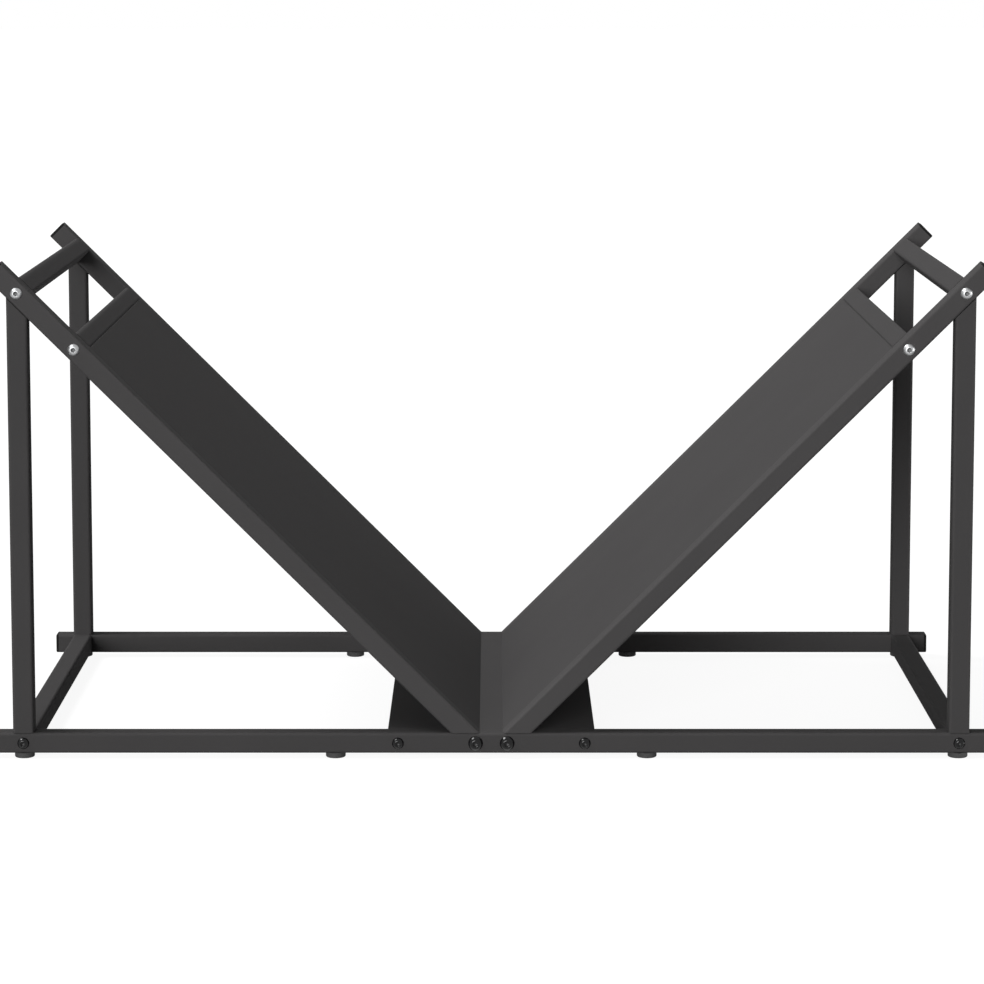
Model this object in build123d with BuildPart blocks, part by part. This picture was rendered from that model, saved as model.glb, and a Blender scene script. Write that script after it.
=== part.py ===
from build123d import *
import os
from math import cos, radians, sin

# A V-shaped firewood rack of square steel tube. X runs along the rails, Y from front to rear and Z up.
# The origin is on the floor, under the middle of the rack. All sizes are in millimetres.

# Overall sizes
rack_width = 1200
rack_depth = 600
arm_angle = 45

# Square tube
tube = 25
wall = 2
inner_corner = 1.5

# Rails, posts and arms
post_inset = 24
arm_foot_gap = 28
arm_tip = 40
window_pitch = 95

# Cross members under the base plate
plate_length = 250
plate_sheet = 2.5
flat_tube_height = 20
beam_width = 60
beam_bolt_pitch = 38

# Side panels
panel_sheet = 2

# Plastic end caps
cap_flange = 3.5
cap_edge = 1.5
cap_plug_depth = 14
cap_plug_wall = 1.5
cap_plug_clearance = 0.2

# Push-in feet
foot_diameter = 24
foot_height = 6.5
foot_edge = 1.5
foot_stem_diameter = 8
foot_stem_clearance = 0.1
foot_stem_bolt_gap = 2
foot_barb = 0.5

# Small bolts, size M8, and large bolts, size M10, both with button heads and hexagon sockets
small_bolt = 8
small_head_diameter = 14
small_head_height = 4.4
small_socket = 5
large_bolt = 10
large_head_diameter = 17.5
large_head_height = 5.5
large_socket = 6
head_flat_share = 0.45
head_rim_share = 0.22
head_shoulder_share = 0.78
socket_depth_share = 0.6
bolt_past_block = 5
bolt_tip_chamfer = 1
bolt_clearance = 0.25
thread_clearance = 0.1

# Tapped blocks in the ends of the cross members
block_length = 15

# Ground weld seams beside the sheets: how far round a tube's corner each one starts, in degrees
seam_rim_angle = 25
top_seam_rim_angle = 50

# Places worked out from the sizes above
slope = radians(arm_angle)
inner = tube - 2 * wall
corner = inner_corner + wall
rail_top = foot_height + tube
rail_z = foot_height + tube / 2
frame_y = (rack_depth - tube) / 2
inner_y = rack_depth / 2 - tube
outer_y = rack_depth / 2
rail_length = rack_width - 2 * cap_flange
post_x = rack_width / 2 - post_inset - tube / 2
inner_foot_x = post_x / 3
feet_x = [-post_x, -inner_foot_x, inner_foot_x, post_x]
flat_tube_x = (plate_length - tube) / 2
beam_bolt_x = beam_bolt_pitch / 2
arm_foot_x = arm_foot_gap / 2
top_bolt_along = (post_x - arm_foot_x - tube / 2 * sin(slope)) / cos(slope)
low_bolt_along = top_bolt_along - window_pitch
arm_length = top_bolt_along + arm_tip
panel_length = low_bolt_along - tube / 2
up_arm = (cos(slope), 0, sin(slope))
bolt_length = tube + block_length + bolt_past_block

# What repeats on the left and right, and at the front and rear
SIDES = {"left": -1, "right": 1}
ENDS = {"front": -1, "rear": 1}
rail_bolt_xs = [-post_x, -flat_tube_x, flat_tube_x, post_x]
beam_bolt_xs = [-beam_bolt_x, beam_bolt_x]
arm_bolt_spots = [(side, along) for side in SIDES.values() for along in (top_bolt_along, low_bolt_along)]

os.makedirs("parts", exist_ok=True)


def save(piece, name):
    """Labels a finished piece and writes it to its own file."""
    piece.part.label = name
    export_step(piece.part, f"parts/{name}.step")


def on_arm(along, down):
    """X and Z of a point on the right arm: along its inner face from the foot, and down into the tube."""
    x = arm_foot_x + along * cos(slope) + down * sin(slope)
    z = rail_top + along * sin(slope) - down * cos(slope)
    return x, z


def arm_plane(side, end, along):
    """The plane that cuts an arm's tube squarely, with its normal up the arm."""
    x, z = on_arm(along, tube / 2)
    up_this_arm = (side * cos(slope), 0, sin(slope))
    return Plane(origin=(side * x, end * frame_y, z), x_dir=(0, 1, 0), z_dir=up_this_arm)


def cross_plane(side, along, y):
    """The section plane of a cross tube that lies turned with the arm, with its normal to the rear."""
    x, z = on_arm(along, tube / 2)
    return Plane(origin=(side * x, y, z), x_dir=(cos(slope), 0, side * sin(slope)), z_dir=(0, 1, 0))


def tube_section(width=tube, height=tube):
    """Draws the hollow section of a tube in the open sketch."""
    RectangleRounded(width, height, corner)
    RectangleRounded(width - 2 * wall, height - 2 * wall, inner_corner, mode=Mode.SUBTRACT)


def make_rail(end):
    """A long bottom tube, drilled for the cross members' bolts and the feet."""
    y = end * frame_y
    with BuildPart() as rail:
        with BuildSketch(Plane.YZ.offset(-rail_length / 2)):
            with Locations((y, rail_z)):
                tube_section()
        extrude(amount=rail_length)
        with BuildSketch(Plane(origin=(0, y, rail_z), x_dir=(1, 0, 0), z_dir=(0, -1, 0))):
            with Locations(*[(x, 0) for x in rail_bolt_xs]):
                Circle(small_bolt / 2 + bolt_clearance)
            with Locations(*[(x, 0) for x in beam_bolt_xs]):
                Circle(large_bolt / 2 + bolt_clearance)
        extrude(amount=tube, both=True, mode=Mode.SUBTRACT)
        with BuildSketch(Plane.XY.offset(foot_height)):
            with Locations(*[(x, y) for x in feet_x]):
                Circle(foot_stem_diameter / 2 + foot_stem_clearance)
        extrude(amount=wall, mode=Mode.SUBTRACT)
    return rail


def make_post(side, end):
    """An upright tube that stands on the rail, its top cut to the slope of the arm above."""
    with BuildPart() as post:
        with BuildSketch(Plane.XY.offset(rail_top)):
            with Locations((side * post_x, end * frame_y)):
                tube_section()
        extrude(amount=arm_length)
        x, z = on_arm(0, tube)
        underside = Plane(origin=(side * x, 0, z), x_dir=(0, 1, 0), z_dir=(-side * sin(slope), 0, cos(slope)))
        split(bisect_by=underside, keep=Keep.BOTTOM)
    return post


def make_arm(side, end):
    """A sloping tube, cut level where it stands on the rail and drilled for the cross tubes' bolts."""
    with BuildPart() as arm:
        with BuildSketch(arm_plane(side, end, 0)):
            tube_section()
        extrude(amount=arm_length - cap_flange)
        split(bisect_by=Plane.XY.offset(rail_top), keep=Keep.TOP)
        with BuildSketch(Plane.XZ.offset(-end * frame_y)):
            for along in (top_bolt_along, low_bolt_along):
                x, z = on_arm(along, tube / 2)
                with Locations((side * x, z)):
                    Circle(small_bolt / 2 + bolt_clearance)
        extrude(amount=tube, both=True, mode=Mode.SUBTRACT)
    return arm


def make_arm_cross_tube(side, along):
    """A tube from the front arm to the rear one, turned so that it lies flush with both."""
    with BuildPart() as cross_tube:
        with BuildSketch(cross_plane(side, along, -inner_y)):
            tube_section()
        extrude(amount=2 * inner_y)
    return cross_tube


def make_rail_cross_tube(x, width, height):
    """A tube from the front rail to the rear one."""
    with BuildPart() as cross_tube:
        with BuildSketch(Plane(origin=(x, -inner_y, rail_z), x_dir=(1, 0, 0), z_dir=(0, 1, 0))):
            tube_section(width, height)
        extrude(amount=2 * inner_y)
    return cross_tube


def seam_section(sheet, rim_angle):
    """The section of a ground weld seam: X runs over the tube's rounded corner and Y out of the sheet."""
    depth = min(sheet, corner)
    rim_x = corner - corner * sin(radians(rim_angle))
    rim_y = corner * cos(radians(rim_angle)) - corner
    with BuildSketch() as section:
        with BuildLine():
            Polyline((0, 0), (rim_x, rim_y), (rim_x, -depth), (0, -depth), close=True)
        make_face()
        with Locations((corner, -corner)):
            Circle(corner, mode=Mode.SUBTRACT)
    return section.sketch


def make_cap(plane):
    """A plastic end cap: a rounded flange outside the tube and a hollow plug inside it."""
    plug = inner - 2 * cap_plug_clearance
    with BuildPart() as cap:
        with BuildSketch(plane):
            RectangleRounded(tube, tube, corner)
        extrude(amount=cap_flange)
        outer_face = cap.faces().sort_by(Axis(plane.origin, plane.z_dir))[-1]
        fillet(outer_face.edges(), radius=cap_edge)
        with BuildSketch(plane):
            RectangleRounded(plug, plug, inner_corner)
            Rectangle(plug - 2 * cap_plug_wall, plug - 2 * cap_plug_wall, mode=Mode.SUBTRACT)
        extrude(amount=-cap_plug_depth)
    return cap


def make_foot(x, y):
    """A round plastic glide with a barbed stem that is pushed up into the rail's bottom wall."""
    stem = foot_stem_diameter / 2
    radius = foot_diameter / 2
    barb_low = foot_height + wall + foot_stem_clearance
    stem_top = rail_z - small_bolt / 2 - foot_stem_bolt_gap
    with BuildPart() as foot:
        with BuildSketch(Plane(origin=(x, y, 0), x_dir=(1, 0, 0), z_dir=(0, -1, 0))):
            with BuildLine():
                Line((0, 0), (radius - foot_edge, 0))
                RadiusArc((radius - foot_edge, 0), (radius, foot_edge), -foot_edge)
                Polyline(
                    (radius, foot_edge),
                    (radius, foot_height),
                    (stem, foot_height),
                    (stem, barb_low),
                    (stem + foot_barb, barb_low),
                    (stem - foot_barb, stem_top),
                    (0, stem_top),
                    (0, 0),
                )
            make_face()
        revolve(axis=Axis((x, y, 0), (0, 0, 1)))
    return foot


def make_bolt(size, head_diameter, head_height, socket):
    """A button-head bolt with its head's seat at Z = 0 and its shank down -Z."""
    rim_height = head_height * head_rim_share
    flat_radius = head_diameter * head_flat_share / 2
    bulge = (head_diameter / 2 + flat_radius) / 2
    shoulder = head_height * head_shoulder_share
    with BuildPart() as bolt:
        with BuildSketch(Plane.XZ):
            with BuildLine():
                Polyline(
                    (flat_radius, head_height),
                    (0, head_height),
                    (0, -bolt_length),
                    (size / 2 - bolt_tip_chamfer, -bolt_length),
                    (size / 2, bolt_tip_chamfer - bolt_length),
                    (size / 2, 0),
                    (head_diameter / 2, 0),
                    (head_diameter / 2, rim_height),
                )
                ThreePointArc((head_diameter / 2, rim_height), (bulge, shoulder), (flat_radius, head_height))
            make_face()
        revolve(axis=Axis.Z)
        with BuildSketch(Plane.XY.offset(head_height)):
            RegularPolygon(socket / 2, 6, major_radius=False)
        extrude(amount=-head_height * socket_depth_share, mode=Mode.SUBTRACT)
    return bolt


def make_block(width, height, bolt_size, bolt_xs):
    """A tapped block for the end of a cross member, from Z = 0 down to -Z inside the tube."""
    with BuildPart() as block:
        with BuildSketch(Plane.XY):
            RectangleRounded(width - 2 * wall, height - 2 * wall, inner_corner)
            with Locations(*[(x, 0) for x in bolt_xs]):
                Circle(bolt_size / 2 + thread_clearance, mode=Mode.SUBTRACT)
        extrude(amount=-block_length)
    return block


def rail_planes(xs, y):
    """Planes at the rails' centre height, at y in front and rear, with their normals out of the rack."""
    places = [(x, end) for end in ENDS.values() for x in xs]
    return [Plane(origin=(x, end * y, rail_z), x_dir=(1, 0, 0), z_dir=(0, end, 0)) for x, end in places]


def arm_bolt_planes(y):
    """Planes at the arms' bolts, turned with the arms, at y in front and rear, facing out of the rack."""
    planes = []
    for end in ENDS.values():
        for side, along in arm_bolt_spots:
            x, z = on_arm(along, tube / 2)
            turned = (cos(slope), 0, side * sin(slope))
            planes.append(Plane(origin=(side * x, end * y, z), x_dir=turned, z_dir=(0, end, 0)))
    return planes


# Bottom rails
for end_name, end in ENDS.items():
    save(make_rail(end), f"{end_name}_rail")

# Posts and arms
for end_name, end in ENDS.items():
    for side_name, side in SIDES.items():
        save(make_post(side, end), f"{end_name}_{side_name}_post")
        save(make_arm(side, end), f"{end_name}_{side_name}_arm")

# Cross tubes between the arms, and between the rails' ends and under the base plate
for side_name, side in SIDES.items():
    save(make_arm_cross_tube(side, top_bolt_along), f"{side_name}_top_cross_tube")
    save(make_arm_cross_tube(side, low_bolt_along), f"{side_name}_window_cross_tube")
    save(make_rail_cross_tube(side * post_x, tube, tube), f"{side_name}_base_cross_tube")
    save(make_rail_cross_tube(side * flat_tube_x, tube, flat_tube_height), f"{side_name}_plate_cross_tube")
save(make_rail_cross_tube(0, beam_width, flat_tube_height), "centre_beam")

# Base plate, on the flat tubes and the beam, level with the rails' tops and welded to the rails
with BuildPart() as base_plate:
    with BuildSketch(Plane.XY.offset(rail_top)):
        Rectangle(plate_length, 2 * inner_y)
    extrude(amount=-plate_sheet)
    with BuildSketch(Plane(origin=(0, inner_y, rail_top), x_dir=(0, 1, 0), z_dir=(1, 0, 0))):
        add(seam_section(plate_sheet, seam_rim_angle))
    extrude(amount=plate_length / 2, both=True)
    mirror(about=Plane.XZ)
save(base_plate, "base_plate")

# Side panels, each level with the arms' inner faces and welded to the arms and the window cross tube
with BuildPart() as right_panel:
    with BuildSketch(Plane(origin=(arm_foot_x, 0, rail_top), x_dir=up_arm, z_dir=(0, 1, 0))):
        with Locations((panel_length / 2, panel_sheet / 2)):
            Rectangle(panel_length, panel_sheet)
    extrude(amount=inner_y, both=True)
    with BuildSketch(Plane(origin=(arm_foot_x, inner_y, rail_top), x_dir=(0, 1, 0), z_dir=up_arm)):
        add(seam_section(panel_sheet, seam_rim_angle))
    extrude(amount=panel_length)
    mirror(about=Plane.XZ)
    top_x, top_z = on_arm(panel_length, 0)
    with BuildSketch(Plane(origin=(top_x, 0, top_z), x_dir=up_arm, z_dir=(0, -1, 0))):
        add(seam_section(panel_sheet, top_seam_rim_angle))
    extrude(amount=inner_y, both=True)
    split(bisect_by=Plane.XY.offset(rail_top), keep=Keep.TOP)
save(right_panel, "right_panel")

with BuildPart() as left_panel:
    mirror(right_panel.part, about=Plane.YZ)
save(left_panel, "left_panel")

# End caps of the rails and the arms
for end_name, end in ENDS.items():
    for side_name, side in SIDES.items():
        rail_end = (side * rail_length / 2, end * frame_y, rail_z)
        rail_cap = make_cap(Plane(origin=rail_end, x_dir=(0, 1, 0), z_dir=(side, 0, 0)))
        save(rail_cap, f"{end_name}_{side_name}_rail_cap")
        arm_cap = make_cap(arm_plane(side, end, arm_length - cap_flange))
        save(arm_cap, f"{end_name}_{side_name}_arm_cap")

# Feet, numbered from left to right
for end_name, end in ENDS.items():
    for number, x in enumerate(feet_x, start=1):
        save(make_foot(x, end * frame_y), f"{end_name}_foot_{number}")

# Bolts, as groups of separate solids
plain_bolt = make_bolt(small_bolt, small_head_diameter, small_head_height, small_socket)
stout_bolt = make_bolt(large_bolt, large_head_diameter, large_head_height, large_socket)

with BuildPart() as arm_bolts:
    with Locations(*arm_bolt_planes(outer_y)):
        add(plain_bolt.part)
save(arm_bolts, "arm_bolts")

with BuildPart() as rail_bolts:
    with Locations(*rail_planes(rail_bolt_xs, outer_y)):
        add(plain_bolt.part)
save(rail_bolts, "rail_bolts")

with BuildPart() as beam_bolts:
    with Locations(*rail_planes(beam_bolt_xs, outer_y)):
        add(stout_bolt.part)
save(beam_bolts, "beam_bolts")

# Tapped blocks, welded in flush with the ends of the cross members
square_block = make_block(tube, tube, small_bolt, [0])
flat_block = make_block(tube, flat_tube_height, small_bolt, [0])
beam_block = make_block(beam_width, flat_tube_height, large_bolt, beam_bolt_xs)

with BuildPart() as arm_cross_blocks:
    with Locations(*arm_bolt_planes(inner_y)):
        add(square_block.part)
save(arm_cross_blocks, "arm_cross_tube_blocks")

with BuildPart() as base_cross_blocks:
    with Locations(*rail_planes([-post_x, post_x], inner_y)):
        add(square_block.part)
save(base_cross_blocks, "base_cross_tube_blocks")

with BuildPart() as plate_cross_blocks:
    with Locations(*rail_planes([-flat_tube_x, flat_tube_x], inner_y)):
        add(flat_block.part)
save(plate_cross_blocks, "plate_cross_tube_blocks")

with BuildPart() as beam_blocks:
    with Locations(*rail_planes([0], inner_y)):
        add(beam_block.part)
save(beam_blocks, "centre_beam_blocks")
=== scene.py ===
# %% [markdown]
# # A V-shaped firewood rack
# The rack has two frames of square steel tube, one in front and one at the rear. Each is welded up from
# a bottom rail, two posts and two sloping arms, which make a V for the logs. Cross tubes run from frame
# to frame, held by button-head bolts, and a sheet closes each side of the V. Tubes and sheets are powder
# coated in matt black. Plastic caps close the tubes' ends, and small round feet carry the rails.
#
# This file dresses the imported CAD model. The CAD model already has the true tubes and sheets, so they
# stay, and the lesson is about the rest: the camera, a white studio, the finishes, and the small turned
# parts.

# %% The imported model
import math

import bmesh
import bpy
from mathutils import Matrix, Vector


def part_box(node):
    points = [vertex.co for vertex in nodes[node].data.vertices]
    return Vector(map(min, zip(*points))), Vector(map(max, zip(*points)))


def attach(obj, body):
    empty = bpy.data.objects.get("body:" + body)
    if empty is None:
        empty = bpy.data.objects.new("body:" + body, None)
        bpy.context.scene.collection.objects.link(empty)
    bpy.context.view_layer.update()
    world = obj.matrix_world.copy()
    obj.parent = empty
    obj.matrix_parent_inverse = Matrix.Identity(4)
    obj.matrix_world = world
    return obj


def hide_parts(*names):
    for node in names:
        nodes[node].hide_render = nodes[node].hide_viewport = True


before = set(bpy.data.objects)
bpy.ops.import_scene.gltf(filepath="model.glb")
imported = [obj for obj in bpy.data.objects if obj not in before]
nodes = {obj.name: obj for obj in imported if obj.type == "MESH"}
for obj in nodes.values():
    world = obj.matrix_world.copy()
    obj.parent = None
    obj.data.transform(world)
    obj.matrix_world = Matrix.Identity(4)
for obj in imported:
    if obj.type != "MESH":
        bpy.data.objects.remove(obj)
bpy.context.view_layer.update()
mm = 0.001
for plain in list(bpy.data.materials):
    bpy.data.materials.remove(plain)

# %% [markdown]
# ## The camera
# The photograph looks at the rack squarely from the front, a little from above, from six or seven times
# its height away. A long lens gives that flat look. The picture plane of the real camera stood nearly
# upright with its lens shifted, and a small shift is kept here, with the rest of the view made by
# tilting the camera down.

# %% The camera
camera_data = bpy.data.cameras.new("camera")
camera = bpy.data.objects.new("camera", camera_data)
bpy.context.scene.collection.objects.link(camera)
bpy.context.scene.camera = camera
camera_data.sensor_width = 36
camera_data.lens = 119.639
camera_data.shift_y = -0.165
camera_data.clip_end = 200
camera_tilt_down = 6.486
camera.location = (0.0009, -4.1565, 0.9587)
camera.rotation_euler = (math.radians(90 - camera_tilt_down), 0, 0)
rack_front = -0.3
print(f"camera {camera_data.lens:.1f} mm, {rack_front - camera.location.y:.2f} m in front of the rack")

# %% [markdown]
# ## A helper for node trees
# A finish is a sum of small patterns, and sums are easiest to read as sums. The class below wraps one
# output of a node, so that `tone * 0.1 + 1` adds the two Math nodes for us. Any other node comes from
# one method, `node`, which sets the node's own settings first and then its sockets. The same class
# serves the shader trees and the Geometry Nodes trees.

# %% Flow, one value in a node tree
class Flow:
    """One value that flows through a node tree. + - * and / add Math nodes."""

    def __init__(self, tree, socket=None):
        self.tree = tree
        self.socket = socket

    @staticmethod
    def find(sockets, key):
        """A node's socket by its number, its identifier, or else its name."""
        if isinstance(key, int):
            return sockets[key]
        for socket in sockets:
            if socket.identifier == key:
                return socket
        return sockets[key]

    def node(self, kind, settings=None, sockets=None, out=0):
        """Adds a node, sets its settings, then its sockets, and gives back one of its outputs."""
        made = self.tree.nodes.new(kind)
        for name, value in (settings or {}).items():
            if name == "items":
                made.index_switch_items.clear()
                for _ in range(value):
                    made.index_switch_items.new()
            else:
                setattr(made, name, value)
        for name, value in (sockets or {}).items():
            target = self.find(made.inputs, name)
            if isinstance(value, Flow):
                self.tree.links.new(value.socket, target)
            elif value is not None:
                target.default_value = value
        if not made.outputs:
            return made
        return Flow(self.tree, self.find(made.outputs, out))

    def math(self, operation, first, second=None):
        """A Math node of one or two values."""
        sockets = {"Value": first, "Value_001": second}
        return self.node("ShaderNodeMath", {"operation": operation}, sockets)

    def __add__(self, other):
        return self.math("ADD", self, other)

    def __radd__(self, other):
        return self.math("ADD", other, self)

    def __sub__(self, other):
        return self.math("SUBTRACT", self, other)

    def __rsub__(self, other):
        return self.math("SUBTRACT", other, self)

    def __mul__(self, other):
        return self.math("MULTIPLY", self, other)

    def __rmul__(self, other):
        return self.math("MULTIPLY", other, self)

    def __truediv__(self, other):
        return self.math("DIVIDE", self, other)

    def __rtruediv__(self, other):
        return self.math("DIVIDE", other, self)


# %% A cleared tree, and a colour between two
def empty_tree(data):
    """Clears a material's or world's node tree and wraps it."""
    data.use_nodes = True
    data.node_tree.nodes.clear()
    return Flow(data.node_tree)


def between(tree, factor, first, second):
    """A colour between two, by a factor from 0 to 1. Each is (red, green, blue) or comes from a node."""
    first, second = [colour if isinstance(colour, Flow) else (*colour, 1) for colour in (first, second)]
    sockets = {"Factor_Float": factor, "A_Color": first, "B_Color": second}
    return tree.node("ShaderNodeMix", {"data_type": "RGBA"}, sockets, out="Result_Color")


# %% [markdown]
# ## The white studio
# The rack stands in front of pure white, and only a trace of its shadow shows. More light on the floor
# would also wash out the black coat, so the white is painted instead of lit. Camera rays, and rays that
# bounce off gloss, see a floor that glows white, while all other rays meet a dull grey floor, which
# throws little light back up. A share of grey paint stays under the glow, so the lamps still leave a
# soft shadow on it.

# %% What the eye sees, as against what light meets
def seen_by_the_eye(tree):
    """1 for camera, glossy and transmission rays, and 0 for rays that carry light to matt surfaces."""
    camera_ray = tree.node("ShaderNodeLightPath", out="Is Camera Ray")
    rays = camera_ray.socket.node.outputs
    glossy_ray = Flow(tree.tree, rays["Is Glossy Ray"])
    transmission_ray = Flow(tree.tree, rays["Is Transmission Ray"])
    seen = tree.math("MAXIMUM", camera_ray, glossy_ray)
    return tree.math("MAXIMUM", seen, transmission_ray)


# %% The floor
white = (1, 1, 1, 1)
floor_size = 80.0
floor_drop = 0.0002
floor_glow = 0.92
floor_paint = (0.15, 0.15, 0.15)
floor_for_light = (0.2, 0.2, 0.2)

bpy.ops.mesh.primitive_plane_add(size=floor_size, location=(0, 0, -floor_drop))
floor = bpy.context.object
floor.name = "studio_floor"
floor_material = bpy.data.materials.new("studio_floor")
tree = empty_tree(floor_material)
eye = seen_by_the_eye(tree)
paint = between(tree, eye, floor_for_light, floor_paint)
matt = tree.node("ShaderNodeBsdfDiffuse", {}, {"Color": paint})
glow = tree.node("ShaderNodeEmission", {}, {"Color": white, "Strength": eye * floor_glow})
both = tree.node("ShaderNodeAddShader", {}, {"Shader": matt, "Shader_001": glow})
tree.node("ShaderNodeOutputMaterial", {}, {"Surface": both})
floor.data.materials.append(floor_material)
print("floor", floor_size, "m square, glow", floor_glow)

# %% The world
world_light = 0.29
world = bpy.data.worlds.new("studio_world")
bpy.context.scene.world = world
tree = empty_tree(world)
brightness = world_light + seen_by_the_eye(tree) * (1 - world_light)
sky = tree.node("ShaderNodeBackground", {}, {"Color": white, "Strength": brightness})
tree.node("ShaderNodeOutputWorld", {}, {"Surface": sky})
bpy.context.scene.view_settings.view_transform = "Standard"
print("world: white to the eye,", world_light, "as a light")

# %% [markdown]
# ## The lamps
# The photo's light was read from the rack itself. The side of the V that faces up and to the left is
# the palest, the front faces come next and the side that faces up and to the right is the darkest. So
# the key light is high on the left, and a low broad one beside the camera lights the front faces. The
# world adds about a third of their light from all round, which keeps the shadows as soft as they are in
# the photo. Sun lamps with a wide angle light the whole rack evenly, as large softboxes far away would.
# A strength of pi on a face that the lamp meets squarely shows its colour as it is written.
#
# One more lamp shines from the right and almost level. The rack is the same left and right, so its
# right half keeps that light off all that the photo shows, and the lamp only brightens the right end,
# for a look from there.

# %% The lamps
lamp_distance = 4


def studio_sun(name, azimuth, elevation, strength, spread):
    """A sun lamp, with angles in degrees. Azimuth 0 is the camera's side, and 90 is the right."""
    lamp = bpy.data.lights.new(name, "SUN")
    lamp.energy = math.pi * strength
    lamp.angle = math.radians(spread)
    lamp_object = bpy.data.objects.new(name, lamp)
    bpy.context.scene.collection.objects.link(lamp_object)
    side, high = math.radians(azimuth), math.radians(elevation)
    towards = Vector((math.sin(side) * math.cos(high), -math.cos(side) * math.cos(high), math.sin(high)))
    lamp_object.rotation_euler = towards.to_track_quat("Z", "Y").to_euler()
    lamp_object.location = towards * lamp_distance
    print(f"{name}: from {tuple(round(c, 2) for c in towards)}, strength {strength}")


studio_sun("key_light", azimuth=270, elevation=58, strength=0.87, spread=24)
studio_sun("front_light", azimuth=343, elevation=8, strength=0.95, spread=30)
studio_sun("right_light", azimuth=90, elevation=0.1, strength=0.50, spread=0.2)

# %% [markdown]
# ## Helpers for the finishes
# Every finish is an empty tree that gets its patterns, one shader and an output. A photo texture would
# show its seams on the long tubes, so the patterns are noises on Object coordinates. They fill space as
# grain fills wood, need no unwrapping and never repeat. Each is given the size of its lumps, as one
# would measure them.
#
# The dimples and grains are too small to model, as they would take millions of faces. A Bump node tilts
# the shading instead, as if they were there.

# %% Helpers for the finishes
def new_finish(name):
    """An empty material, its tree, and the Object coordinates that its patterns read."""
    material = bpy.data.materials.new(name)
    tree = empty_tree(material)
    place = tree.node("ShaderNodeTexCoord", out="Object")
    return material, tree, place


def noise(tree, place, size, detail):
    """A noise from 0 to 1 whose lumps are about that size, in metres."""
    sockets = {"Vector": place, "Scale": 1 / size, "Detail": detail, "Roughness": 0.5}
    return tree.node("ShaderNodeTexNoise", {}, sockets, out="Fac")


def bumps(tree, height, strength, depth):
    """Shading tilted by a height from 0 to 1, which stands for that depth in metres."""
    return tree.node("ShaderNodeBump", {}, {"Strength": strength, "Distance": depth, "Height": height})


def finish_output(tree, sockets):
    """Ends a finish: one Principled shader with those sockets."""
    shader = tree.node("ShaderNodeBsdfPrincipled", {}, sockets)
    tree.node("ShaderNodeOutputMaterial", {}, {"Surface": shader})


# %% [markdown]
# ## Black powder coat
# Powder coat is melted plastic powder. It is matt, very slightly brownish black, and its skin has a
# fine orange peel: soft dimples a millimetre or two apart and a grain of a third of that. Tone and
# roughness drift a little over a hand's width, because the film is never equally thick.

# %% The powder coat
coat_dark, coat_light = (0.0420, 0.0406, 0.0409), (0.0590, 0.0571, 0.0575)
drift_size, peel_size, speckle_size = 0.12, 0.0016, 0.0006


def powder_coat(name, lift):
    """The coat, with its tone lifted by a factor. Above 1, the lift is painted light on those parts."""
    material, tree, place = new_finish(name)
    drift = noise(tree, place, drift_size, detail=3)
    speckle = noise(tree, place, speckle_size, detail=1)
    peel = noise(tree, place, peel_size, detail=2)
    dark, light = [[channel * lift for channel in shade] for shade in (coat_dark, coat_light)]
    finish_output(tree, {
        "Base Color": between(tree, drift * 0.5 + speckle * 0.5, dark, light),
        "Roughness": 0.89 + drift * 0.07,
        "Specular IOR Level": 0.05,
        "Normal": bumps(tree, peel * 0.75 + speckle * 0.25, strength=0.5, depth=0.05 * mm),
    })
    return material


coat = powder_coat("black_powder_coat", lift=1.0)
# The arms' copy is lighter: painted light, for the extra light that the arms catch.
lit_arm_coat = powder_coat("black_powder_coat_arms_painted_light", lift=1.15)
print(f"powder coat: peel {peel_size / mm:.1f} mm, speckle {speckle_size / mm:.1f} mm")

# %% [markdown]
# ## Black plastic
# The caps and the feet are moulded, and the spark-eroded wall of the mould leaves a fine even grain on
# them. The caps come out blacker than the feet, so one function makes both shades. The gloss is weak,
# because a stronger one would mirror the white studio and turn the black grey.

# %% The plastic of the caps and the feet
streak_size, grain_size = 0.01, 0.0004


def black_plastic(name, dark, light):
    """Moulded plastic with a fine spark-eroded grain, between two levels of grey."""
    material, tree, place = new_finish(name)
    streak = noise(tree, place, streak_size, detail=3)
    grain = noise(tree, place, grain_size, detail=2)
    finish_output(tree, {
        "Base Color": between(tree, streak * 0.5 + grain * 0.5, (dark,) * 3, (light,) * 3),
        "Roughness": 0.55 + grain * 0.12,
        "Specular IOR Level": 0.08,
        "Normal": bumps(tree, grain, strength=0.4, depth=0.02 * mm),
    })
    return material


cap_plastic = black_plastic("black_plastic", dark=0.004, light=0.008)
foot_plastic = black_plastic("black_plastic_feet", dark=0.056, light=0.074)
print(f"plastic: grain {grain_size / mm:.1f} mm, on caps and feet")

# %% [markdown]
# ## The steels of the bolts
# The bolts of the arms are zinc plated, which is bare metal to the light: its colour is the colour of
# what it mirrors. So Metallic is 1, and faint clouds in the colour and the roughness keep it from
# looking like chrome. The other bolts have a thin skin of black oxide with oil on it. A dark metal
# would mirror no more than its colour lets it, so this one is a black ground under a clear gloss, which
# gives the small sharp lights of such heads.
#
# Both read `hollow`, an attribute that the bolts are made with further on: 1 in the hexagon and 0
# elsewhere. The broached steel in there is rougher. The zinc is darker there too: partly because the
# plating hardly gets in, and partly as painted shade, for the little light that reaches the hexagon.

# %% Bright zinc steel of the arm bolts
turned_size = 0.0003
zinc_cloud_size = 0.004
# The hexagon's zinc is darkened to this: thinner plating, and painted shade for the recess.
hollow_bare_steel_and_shade = (0.01, 0.01, 0.01)

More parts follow.
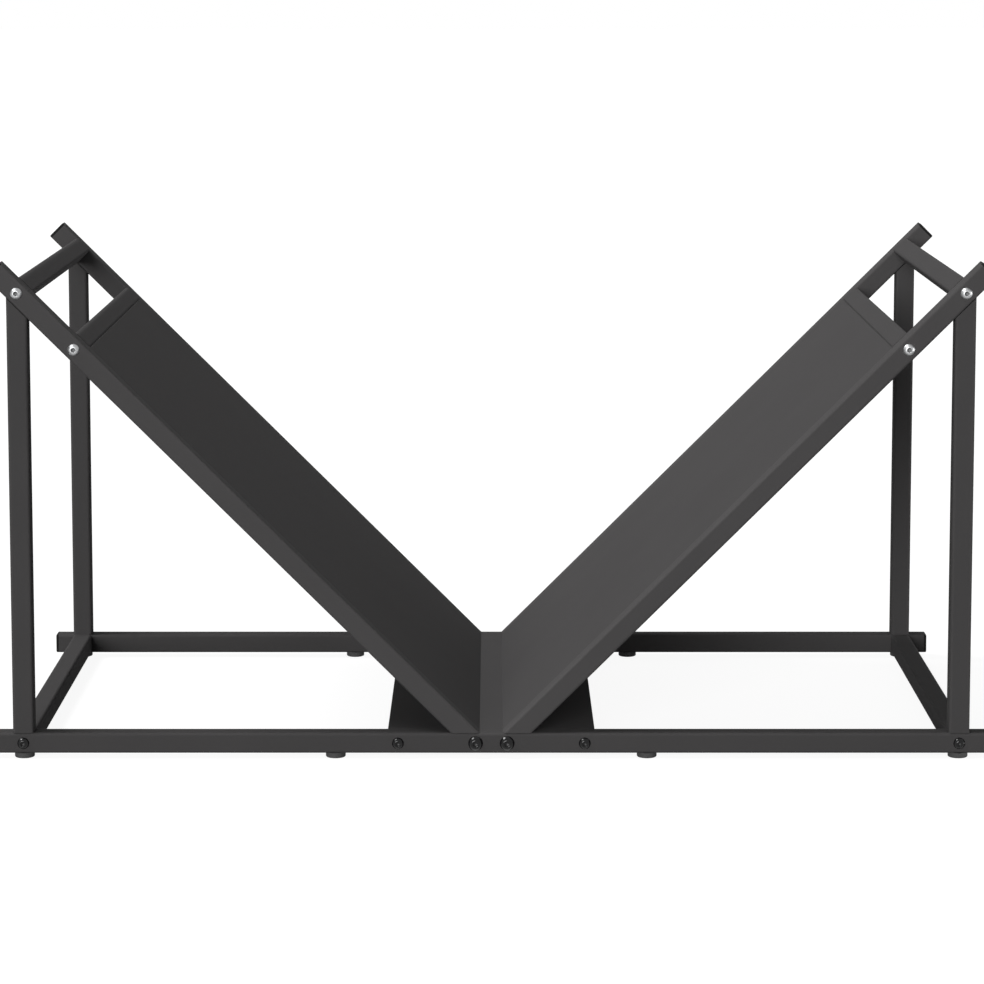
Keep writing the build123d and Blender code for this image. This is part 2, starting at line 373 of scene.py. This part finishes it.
zinc, tree, place = new_finish("silver_steel")
cloud = noise(tree, place, zinc_cloud_size, detail=3)
fine = noise(tree, place, turned_size, detail=2)
hollow = tree.node("ShaderNodeAttribute", {"attribute_name": "hollow"}, out="Fac")
zinc_colour = between(tree, cloud, (0.34, 0.345, 0.35), (0.42, 0.425, 0.43))
finish_output(tree, {
    "Base Color": between(tree, hollow * 0.7, zinc_colour, hollow_bare_steel_and_shade),
    "Metallic": 1.0,
    "Roughness": 0.36 + cloud * 0.10 + hollow * 0.2,
    "Normal": bumps(tree, fine, strength=0.15, depth=0.005 * mm),
})
print(f"zinc: a metal with clouds {zinc_cloud_size / mm:.0f} mm across")

# %% Black oxide steel of the rail bolts
oxide_cloud_size = 0.003

black_steel, tree, place = new_finish("black_bolt_steel")
cloud = noise(tree, place, oxide_cloud_size, detail=3)
fine = noise(tree, place, turned_size, detail=2)
hollow = tree.node("ShaderNodeAttribute", {"attribute_name": "hollow"}, out="Fac")
finish_output(tree, {
    "Base Color": between(tree, cloud, (0.003, 0.003, 0.0033), (0.006, 0.006, 0.0065)),
    "Metallic": 0.0,
    "Roughness": 0.12 + cloud * 0.03 + hollow * 0.25,
    "Specular IOR Level": 0.23,
    "Normal": bumps(tree, fine, strength=0.15, depth=0.005 * mm),
})
print(f"black oxide: a gloss with clouds {oxide_cloud_size / mm:.0f} mm across")

# %% [markdown]
# ## Plain steel
# The blocks that the bolts screw into are cut from bare drawn bar. They sit out of sight in the ends of
# the tubes, but whoever takes the rack apart sees them, so they get a finish too: a grey metal, patchy
# and a little rough.

# %% Plain steel of the blocks inside the tubes
patch_size, scratch_size = 0.006, 0.0005

plain_steel, tree, place = new_finish("plain_steel")
patch = noise(tree, place, patch_size, detail=3)
scratch = noise(tree, place, scratch_size, detail=2)
finish_output(tree, {
    "Base Color": between(tree, patch, (0.34, 0.34, 0.35), (0.46, 0.46, 0.46)),
    "Metallic": 1.0,
    "Roughness": 0.38 + patch * 0.15,
    "Normal": bumps(tree, scratch, strength=0.4, depth=0.02 * mm),
})
print(f"plain steel: a metal with patches {patch_size / mm:.0f} mm across")

# %% [markdown]
# ## A finish for every CAD node
# The name of a CAD node says what it is, so one short function picks the finish by the name. The arms
# get the lighter coat, which paints in extra light on them. The bolts and feet get theirs as well, though
# made ones take their place below, so that no node is left plain.

# %% Every CAD node gets its finish
def finish_of(name):
    """The finish of a CAD node, by the words in its name."""
    if "cap" in name:
        return cap_plastic
    if "foot" in name:
        return foot_plastic
    if name == "arm_bolts":
        return zinc
    if name.endswith("_bolts"):
        return black_steel
    if name.endswith("_blocks"):
        return plain_steel
    return lit_arm_coat if name.endswith("_arm") else coat


counts = {}
for name, node in nodes.items():
    finish = finish_of(name)
    node.data.materials.clear()
    node.data.materials.append(finish)
    counts[finish.name] = counts.get(finish.name, 0) + 1
print("nodes by finish:", counts)

# %% [markdown]
# ## Turned parts
# The bolts and the feet are turned or moulded round an axis. They could be lathed with a Spin tool, but
# a thread climbs and a hexagon isn't round. So the whole skin of such a part is one rule on a grid:
# each row has a radius and a height, and each column has an angle. Geometry Nodes bend one flat grid by
# that rule and set a copy of it at each hole, so a size is changed in one place. The first and the last
# row are poles, whose points are merged.

# %% A grid bent round an axis
row_guard = 0.25
pole_merge = 0.001 * mm


def on_grid(tree, rows, columns):
    """A flat grid to bend, and for each of its points the row, the column and the angle."""
    sockets = {"Vertices X": columns + 1, "Vertices Y": rows}
    grid = tree.node("GeometryNodeMeshGrid", {}, sockets, out="Mesh")
    index = tree.node("GeometryNodeInputIndex")
    row = tree.math("MODULO", index, rows)
    column = (index - row) / rows
    return grid, row, column, column * (2 * math.pi / columns)


def by_row(tree, row, values):
    """The row's value out of a list. The guard keeps a row that is rounded down from becoming another."""
    sockets = {0: row + row_guard, **dict(enumerate(values, start=1))}
    return tree.node("GeometryNodeIndexSwitch", {"data_type": "FLOAT", "items": len(values)}, sockets)


def turned(tree, grid, row, angle, profile):
    """Bends the grid by a profile, which has a radius and a height for each row, bottom pole first."""
    radius = by_row(tree, row, [radius for radius, height in profile])
    height = by_row(tree, row, [height for radius, height in profile])
    across, along = radius * tree.math("COSINE", angle), radius * tree.math("SINE", angle)
    place = tree.node("ShaderNodeCombineXYZ", {}, {"X": across, "Y": along, "Z": height})
    bent = tree.node("GeometryNodeSetPosition", {}, {"Geometry": grid, "Position": place})
    return tree.node("GeometryNodeMergeByDistance", {}, {"Geometry": bent, "Distance": pole_merge})


# %% The start and the end of every tree
def new_geometry_tree(name, inputs):
    """An empty Geometry Nodes tree with named inputs: a dictionary of name to (socket type, value)."""
    group = bpy.data.node_groups.new(name, "GeometryNodeTree")
    group.interface.new_socket("Geometry", in_out="INPUT", socket_type="NodeSocketGeometry")
    group.interface.new_socket("Geometry", in_out="OUTPUT", socket_type="NodeSocketGeometry")
    for label, (kind, value) in inputs.items():
        socket = group.interface.new_socket(label, in_out="INPUT", socket_type=kind)
        if value is not None:
            socket.default_value = value
    tree = Flow(group)
    points = tree.node("NodeGroupInput", out="Geometry")
    given = {label: Flow(group, points.socket.node.outputs[label]) for label in inputs}
    return tree, points, given


def set_at_points(tree, points, solid, given):
    """Ends a tree: sets the solid on each point, along its `facing`, spun at random about its axis."""
    settings = {"data_type": "FLOAT_VECTOR"}
    facing = tree.node("GeometryNodeInputNamedAttribute", settings, {"Name": "facing"})
    aim = tree.node("FunctionNodeAlignRotationToVector", {"axis": "Z"}, {"Vector": facing})
    sockets = {"Min_001": 0.0, "Max_001": 2 * math.pi, "Seed": given["Seed"]}
    turn = tree.node("FunctionNodeRandomValue", {"data_type": "FLOAT"}, sockets, out="Value_001")
    spin = tree.node("FunctionNodeAxisAngleToRotation", {}, {"Axis": (0, 0, 1), "Angle": turn})
    sockets = {"Rotation": aim, "Rotate By": spin}
    aim = tree.node("FunctionNodeRotateRotation", {"rotation_space": "LOCAL"}, sockets)
    sockets = {"Points": points, "Instance": solid, "Rotation": aim}
    copies = tree.node("GeometryNodeInstanceOnPoints", {}, sockets)
    real = tree.node("GeometryNodeRealizeInstances", {}, {"Geometry": copies})
    done = tree.node("GeometryNodeSetMaterial", {}, {"Geometry": real, "Material": given["Finish"]})
    tree.node("NodeGroupOutput", {}, {"Geometry": done})


# %% [markdown]
# ## The button-head bolt
# Twenty of these hold the rack together. The CAD bolts are right in size but plain: no thread, no
# broken edges, and every hexagon turned the same way. One tree makes them all, with the sizes of a
# bolt as its inputs, in millimetres.
#
# The thread fits the rule of the grid when its rows climb by one pitch for each turn. The hexagon does
# too, because its radius is its half width divided by the cosine of the angle to the nearest flat. The
# rows in the hexagon also get the `hollow` mark that the steels read.

# %% The bolt's inputs and its grid
millimetres = "NodeSocketFloat"
bolt_sizes = {
    "Thread": (millimetres, 8.0), "Pitch": (millimetres, 1.25), "Length": (millimetres, 45.0),
    "Head": (millimetres, 14.0), "Head Height": (millimetres, 4.4), "Key": (millimetres, 5.0),
    "Seed": ("NodeSocketInt", 1), "Finish": ("NodeSocketMaterial", None),
}
tree, points, given = new_geometry_tree("button_head_bolt", bolt_sizes)
thread, pitch, length = given["Thread"] * mm, given["Pitch"] * mm, given["Length"] * mm
head, head_height, key = given["Head"] * mm, given["Head Height"] * mm, given["Key"] * mm

columns = 36
thread_turns = 14
tip_rows, neck_rows, rim_rows, dome_rows, mouth_rows, hollow_rows = 3, 3, 2, 9, 1, 3
first_turn = tip_rows
first_dome = first_turn + 2 * thread_turns + neck_rows + rim_rows
row_count = first_dome + dome_rows + mouth_rows + hollow_rows
grid, row, column, angle = on_grid(tree, row_count, columns)
in_hollow = tree.math("GREATER_THAN", row, row_count - hollow_rows - row_guard)
sockets = {"Geometry": grid, "Name": "hollow", "Value": in_hollow}
grid = tree.node("GeometryNodeStoreNamedAttribute", {"data_type": "FLOAT", "domain": "POINT"}, sockets)
print(f"bolt: {row_count} rows of {columns}, of which {2 * thread_turns} rows are thread")

# %% The thread
# In pitches: how deep the thread is, how far it starts above the tip and ends above its last turn,
# and how high the tip's slope is
thread_depth, thread_start, thread_end, tip_slope = 0.54, 0.8, 1.6, 0.4
tip_chamfer = 0.4 * mm

shank = thread / 2
root = shank - pitch * thread_depth
tip = length * -1
climb = (row - first_turn) / 2 + column / columns
thread_radius = root + (shank - root) * tree.math("MODULO", row - first_turn, 2)
thread_height = tip + pitch * (climb + thread_start)
thread_top = tip + pitch * (thread_turns + thread_end)
bolt_profile = [(0.0, tip), (root - tip_chamfer, tip), (root, tip + pitch * tip_slope)]
bolt_profile += [(thread_radius, thread_height)] * (2 * thread_turns)
bolt_profile += [(root, thread_top), (shank, thread_top + (shank - root)), (shank, 0.0)]
print("thread: root and crest in turn, one pitch higher after each turn")

# %% The head and its hexagon
# Shares of the head's height: its straight rim, the dome's bulge and the floor of the hexagon
rim_share, bulge_share, floor_share = 0.22, 0.68, 0.4
# Shares of the head's width, for the flat on top, and of the key's, for the drill's cone and the corners
flat_share, cone_share, corner_share = 0.225, 0.25, 0.5774
broken_edge, mouth_edge = 0.25 * mm, 0.15 * mm
sixth = math.pi / 3

rim, flat = head_height * rim_share, head * flat_share
way_up = (row - first_dome) / (dome_rows - 1)
dome_radius = head / 2 + (flat - head / 2) * way_up
dome_height = rim + (head_height - rim) * way_up + head_height * bulge_share * way_up * (1 - way_up)
to_flat = tree.math("MODULO", angle + sixth / 2, sixth) - sixth / 2
hexagon = key / 2 / tree.math("COSINE", to_flat)
key_floor = head_height * floor_share
bolt_profile += [(head / 2 - broken_edge, 0.0), (head / 2, broken_edge)]
bolt_profile += [(dome_radius, dome_height)] * dome_rows
bolt_profile += [(key * corner_share + mouth_edge, head_height), (hexagon, head_height - broken_edge)]
bolt_profile += [(hexagon, key_floor), (0.0, key_floor - key * cone_share)]

solid = turned(tree, grid, row, angle, bolt_profile)
set_at_points(tree, points, solid, given)
bolt_tree = tree.tree
print(f"bolt tree: {len(bolt_tree.nodes)} nodes, {len(bolt_profile)} rows in its profile")

# %% [markdown]
# ## From points to a finished piece
# Each group of bolts starts as a mesh of bare points, one at each hole, with the way the head faces
# kept as an attribute. The tree puts the bolts there. The result is then frozen as a plain mesh, its
# doubles are merged, the ends of the thread are closed and its normals are made to point outwards, so
# it can be exported and weighed.

# %% Points in, plain mesh out
def points_object(name, spots):
    """A mesh of bare points. Spots are (x, y, z) in millimetres and the direction that the part faces."""
    mesh = bpy.data.meshes.new(name)
    mesh.from_pydata([[c * mm for c in place] for place, facing in spots], [], [])
    mesh.attributes.new("facing", "FLOAT_VECTOR", "POINT")
    mesh.attributes["facing"].data.foreach_set("vector", [c for place, facing in spots for c in facing])
    points = bpy.data.objects.new(name, mesh)
    bpy.context.scene.collection.objects.link(points)
    return points


def run_tree(piece, tree, values):
    """Runs a tree on the piece's points and keeps what comes out as the piece's own plain mesh."""
    modifier = piece.modifiers.new("tree", "NODES")
    modifier.node_group = tree
    for item in tree.interface.items_tree:
        if item.in_out == "INPUT" and item.name in values:
            modifier[item.identifier] = values[item.name]
    depsgraph = bpy.context.evaluated_depsgraph_get()
    mesh = bpy.data.meshes.new_from_object(piece.evaluated_get(depsgraph), depsgraph=depsgraph)
    piece.modifiers.remove(modifier)
    piece.data = mesh
    mesh.name = piece.name
    return mesh


# %% A closed skin, and a check against the CAD
same_point = 0.0005 * mm
thread_end_sides = 8
sharp_angle = math.radians(28)
millilitre = 1e-6


def close_skin(mesh):
    """Closes the mesh and turns its faces out. Gives back how many edges are open, and the volume."""
    shape = bmesh.new()
    shape.from_mesh(mesh)
    bmesh.ops.remove_doubles(shape, verts=shape.verts, dist=same_point)
    open_edges = [edge for edge in shape.edges if edge.is_boundary]
    bmesh.ops.holes_fill(shape, edges=open_edges, sides=thread_end_sides)
    bmesh.ops.recalc_face_normals(shape, faces=shape.faces)
    still_open = sum(1 for edge in shape.edges if len(edge.link_faces) != 2)
    for face in shape.faces:
        face.smooth = True
    volume = shape.calc_volume()
    shape.to_mesh(mesh)
    shape.free()
    mesh.set_sharp_from_angle(angle=sharp_angle)
    return still_open, volume


def off_the_cad(mesh, replaced):
    """How far the mesh's box is off the box of the CAD nodes that it stands for, at most."""
    boxes = [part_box(node) for node in replaced]
    gaps = []
    for i in range(3):
        across = [vertex.co[i] for vertex in mesh.vertices]
        gaps.append(abs(min(across) - min(low[i] for low, high in boxes)))
        gaps.append(abs(max(across) - max(high[i] for low, high in boxes)))
    return max(gaps)


def made_by_tree(name, spots, tree, values, replaced):
    """Makes a piece by running a tree on the spots, and hides the CAD nodes that it stands for."""
    piece = points_object(name, spots)
    mesh = run_tree(piece, tree, values)
    still_open, volume = close_skin(mesh)
    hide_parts(*replaced)
    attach(piece, "root")
    print(f"{name}: {len(mesh.polygons)} faces, {still_open} open edges, {volume / millilitre:.1f} ml, "
          f"box within {off_the_cad(mesh, replaced) / mm:.2f} mm of the CAD")
    return piece


# %% [markdown]
# ## The bolts in their holes
# The heads lie on the outer faces of the front and the rear frame, so each place in the front has its
# like at the rear. Those of the arms are where the upper cross tubes end. Those of the rails are small
# where a single tube ends, and larger in the middle, where two hold the wide beam.

# %% Bolts in front and at the rear
rail_z, face_y = 19.0, 300.0
front_and_rear = [(-1, (0, -1, 0)), (1, (0, 1, 0))]


def bolt_spots(places):
    """Front and rear spots for bolts at those places, each (x, z) in millimetres."""
    return [((x, end * face_y, z), facing) for x, z in places for end, facing in front_and_rear]


# %% The bolts of the arms
arm_bolt_low, arm_bolt_high = (496.3, 496.1), (563.5, 563.3)
arm_places = [(side * x, z) for side in (-1, 1) for x, z in (arm_bolt_low, arm_bolt_high)]
arm_bolts = made_by_tree("arm_button_bolts", bolt_spots(arm_places), bolt_tree,
                         {"Seed": 3, "Finish": zinc}, ["arm_bolts"])

# %% The bolts of the rails and of the beam
post_x, plate_tube_x, beam_bolt_x = 563.5, 112.5, 19
rail_places = [(x, rail_z) for x in (-post_x, -plate_tube_x, plate_tube_x, post_x)]
rail_bolts = made_by_tree("rail_button_bolts", bolt_spots(rail_places), bolt_tree,
                          {"Seed": 8, "Finish": black_steel}, ["rail_bolts"])

beam_places = [(x, rail_z) for x in (-beam_bolt_x, beam_bolt_x)]
large = {"Thread": 10.0, "Pitch": 1.5, "Head": 17.5, "Head Height": 5.5, "Key": 6.0}
beam_bolts = made_by_tree("beam_button_bolts", bolt_spots(beam_places), bolt_tree,
                          {**large, "Seed": 5, "Finish": black_steel}, ["beam_bolts"])

# %% [markdown]
# ## The feet
# Each foot is a round plastic glide, 24 mm across, pushed up into a hole in the rail. It is round all
# the way, so the same bent grid makes it with a simpler profile. It has a rounded lower edge, a dished
# sole so that it stands on a ring, and a stem with three barbs that hold it behind the tube's wall.

# %% The foot's inputs and its grid
foot_sizes = {
    "Width": (millimetres, 24.0), "Height": (millimetres, 6.5), "Edge": (millimetres, 1.5),
    "Stem": (millimetres, 8.0), "Barb": (millimetres, 0.5),
    "Seed": ("NodeSocketInt", 1), "Finish": ("NodeSocketMaterial", None),
}
tree, points, given = new_geometry_tree("push_in_foot", foot_sizes)
radius, height, edge = given["Width"] * (mm / 2), given["Height"] * mm, given["Edge"] * mm
stem, barb = given["Stem"] * (mm / 2), given["Barb"] * mm

foot_columns = 48
barbs = 3
sole_rows, edge_rows, shoulder_rows, top_rows = 4, 6, 2, 2
row_count = sole_rows + edge_rows + shoulder_rows + 2 * barbs + top_rows
grid, row, _, angle = on_grid(tree, row_count, foot_columns)
print(f"foot: {row_count} rows of {foot_columns}")

# %% The foot's sole, edge and barbed stem
# The dish in the sole: its depth, and shares of the radius where its floor ends and its ring starts
dish_depth, dish_step = 0.9 * mm, 0.5 * mm
dish_share, step_share, ring_share = 0.55, 0.6, 0.64
# The barbs start behind the tube's wall. Each runs in over most of its step, and the tip is thinner yet
wall_gap, barbed_length = 2.1 * mm, 4.4 * mm
barb_run, top_share = 0.95, 1.6

bend = (row - sole_rows) / (edge_rows - 1) * (math.pi / 2)
edge_radius = radius - edge + edge * tree.math("SINE", bend)
edge_height = edge - edge * tree.math("COSINE", bend)
barb_low, barb_step = height + wall_gap, barbed_length / barbs
stem_top = barb_low + barb_step * barbs
foot_profile = [(0.0, dish_depth), (radius * dish_share, dish_depth)]
foot_profile += [(radius * step_share, dish_step), (radius * ring_share, 0.0)]
foot_profile += [(edge_radius, edge_height)] * edge_rows
foot_profile += [(radius, height), (stem, height)]
for number in range(barbs):
    foot_profile += [(stem + barb, barb_low + barb_step * number)]
    foot_profile += [(stem - barb, barb_low + barb_step * (number + barb_run))]
foot_profile += [(stem - barb * top_share, stem_top), (0.0, stem_top)]
solid = turned(tree, grid, row, angle, foot_profile)
set_at_points(tree, points, solid, given)
foot_tree = tree.tree
print(f"foot tree: {len(foot_tree.nodes)} nodes, {len(foot_profile)} rows in its profile")

# %% The eight feet
foot_y = 287.5
foot_xs = [-post_x, -post_x / 3, post_x / 3, post_x]
foot_spots = [((x, end * foot_y, 0.0), (0, 0, 1)) for end in (-1, 1) for x in foot_xs]
foot_nodes = [f"{end}_foot_{number}" for end in ("front", "rear") for number in (1, 2, 3, 4)]
feet = made_by_tree("push_in_feet", foot_spots, foot_tree,
                    {"Seed": 2, "Finish": foot_plastic}, foot_nodes)
